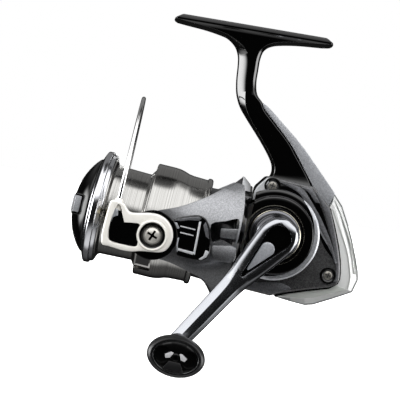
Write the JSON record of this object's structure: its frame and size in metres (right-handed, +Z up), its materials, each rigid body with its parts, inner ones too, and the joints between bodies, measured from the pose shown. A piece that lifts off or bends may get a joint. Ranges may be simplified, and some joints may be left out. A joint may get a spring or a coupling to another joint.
{
  "type": "spinning reel",
  "caption": "Front-drag spinning reel with a rod foot, rotor and folding bail wire, sliding spool, drag knob and a cranked handle with an oval knob.",
  "frame": {"origin": "centre of the foot's flat top face, where the rod's reel seat holds it", "axes": "+Z up out of the foot towards the rod, -X forward towards the spool, -Y towards the handle"},
  "size_m": [0.1118, 0.1064, 0.1237],
  "materials": {
    "gloss_black": "gloss",
    "satin_silver": "satin",
    "dark_metallic": "metallic satin",
    "pearl_white": "pearl",
    "rotor_silver": "metallic satin",
    "black_ring": "mirror",
    "bright_ring": "polished",
    "collar_champagne": "turned",
    "handle_metal": "polished",
    "insert_grey": "satin",
    "knob_black": "fine texture",
    "cap_black": "gloss",
    "spool_silver": "turned",
    "bail_ivory": "satin",
    "wire_steel": "polished",
    "roller_gold": "polished",
    "screw_steel": "bright",
    "shaft_steel": "ground",
    "bearing_steel": "ground",
    "gear_zinc": "cast",
    "pinion_brass": "cut",
    "gear_nylon": "moulded",
    "clutch_black": "moulded",
    "clip_black": "moulded",
    "felt_brown": "felt"
  },
  "bodies": {
    "frame": {"body_frame": "gloss_black", "stem_fairing": "satin_silver", "side_cover": "dark_metallic", "rear_cover": "pearl_white", "side_cover_screws": "screw_steel", "rear_cover_screws": "screw_steel", "boss_ring": "bright_ring", "boss_cap": "gloss_black", "drive_bearing_near": "bearing_steel", "drive_bearing_far": "bearing_steel", "port_cap": "gloss_black", "clutch_housing": "clutch_black", "clutch_ring": "shaft_steel", "clutch_rollers": "shaft_steel", "clutch_screws": "screw_steel", "pinion_bearing": "bearing_steel", "pinion_bushing": "pinion_brass", "guide_rod": "shaft_steel", "oscillating_axle": "shaft_steel"},
    "handle": {"drive_shaft": "shaft_steel", "drive_gear": "gear_zinc", "oscillating_drive_gear": "gear_zinc", "handle_collar": "collar_champagne", "handle_arm": "handle_metal", "handle_insert": "insert_grey", "handle_bolt": "shaft_steel", "knob_shaft": "shaft_steel", "knob_screw": "screw_steel"},
    "knob": {"handle_knob": "knob_black", "knob_cap": "cap_black", "knob_bushings": "gear_nylon"},
    "rotor": {"rotor": "rotor_silver", "rotor_rear_ring": "black_ring", "pinion_gear": "pinion_brass", "clutch_sleeve": "shaft_steel", "rotor_nut": "shaft_steel", "nut_lock": "screw_steel", "arm_cover_near": "gloss_black", "arm_cover_far": "gloss_black", "bail_spring": "shaft_steel", "kick_lever": "shaft_steel"},
    "bail": {"bail_arm": "bail_ivory", "bail_holder": "bail_ivory", "bail_wire": "wire_steel", "bail_pivot_screws": "screw_steel", "roller_screw": "screw_steel"},
    "line_roller": {"line_roller": "roller_gold"},
    "oscillating_gear": {"oscillating_gear": "gear_nylon"},
    "shaft": {"main_shaft": "shaft_steel", "slider": "gear_zinc", "slider_screw": "screw_steel", "click_gear": "gear_nylon"},
    "spool": {"spool": "spool_silver", "line_clip": "clip_black", "drag_washers": "felt_brown", "drag_clip": "shaft_steel"},
    "drag_knob": {"drag_knob": "gloss_black", "drag_knob_clip": "shaft_steel", "drag_nut": "pinion_brass", "drag_spring": "shaft_steel"}
  },
  "joints": [
    {"name": "handle_spin", "type": "hinge", "parent": "frame", "child": "handle", "pos_m": [0.01938, 0, -0.0761], "axis": [0, 1, 0], "continuous": true},
    {"name": "knob_spin", "type": "hinge", "parent": "handle", "child": "knob", "pos_m": [-0.00913, -0.06, -0.11681], "axis": [0, 1, 0], "continuous": true},
    {"name": "rotor_spin", "type": "hinge", "parent": "frame", "child": "rotor", "pos_m": [-0.01698, 0, -0.0797], "axis": [0.9973, 0, -0.0732], "continuous": true},
    {"name": "bail_swing", "type": "hinge", "parent": "rotor", "child": "bail", "pos_m": [-0.02434, 0, -0.08297], "axis": [0, -1, 0], "range_deg": [0, 104], "stiffness_Nm_per_rad": 0.02, "springref_deg": -28.65},
    {"name": "roller_spin", "type": "hinge", "parent": "bail", "child": "line_roller", "pos_m": [-0.03746, -0.026, -0.08], "axis": [0, 1, 0], "continuous": true},
    {"name": "oscillating_spin", "type": "hinge", "parent": "frame", "child": "oscillating_gear", "pos_m": [0.03156, 0.007, -0.08226], "axis": [0, 1, 0], "continuous": true},
    {"name": "shaft_slide", "type": "slide", "parent": "frame", "child": "shaft", "axis": [-0.9973, 0, 0.0732], "range_m": [-0.0044, 0.0088]},
    {"name": "spool_spin", "type": "hinge", "parent": "shaft", "child": "spool", "pos_m": [-0.03693, 0, -0.07823], "axis": [0.9973, 0, -0.0732], "continuous": true},
    {"name": "drag_turn", "type": "hinge", "parent": "shaft", "child": "drag_knob", "pos_m": [-0.05189, 0, -0.07713], "axis": [0.9973, 0, -0.0732], "range_deg": [-180, 540]}
  ],
  "couplings": [
    {"joint": "rotor_spin", "follows": "handle_spin", "ratio": 5.2857},
    {"joint": "oscillating_spin", "follows": "handle_spin", "ratio": -0.5}
  ]
}
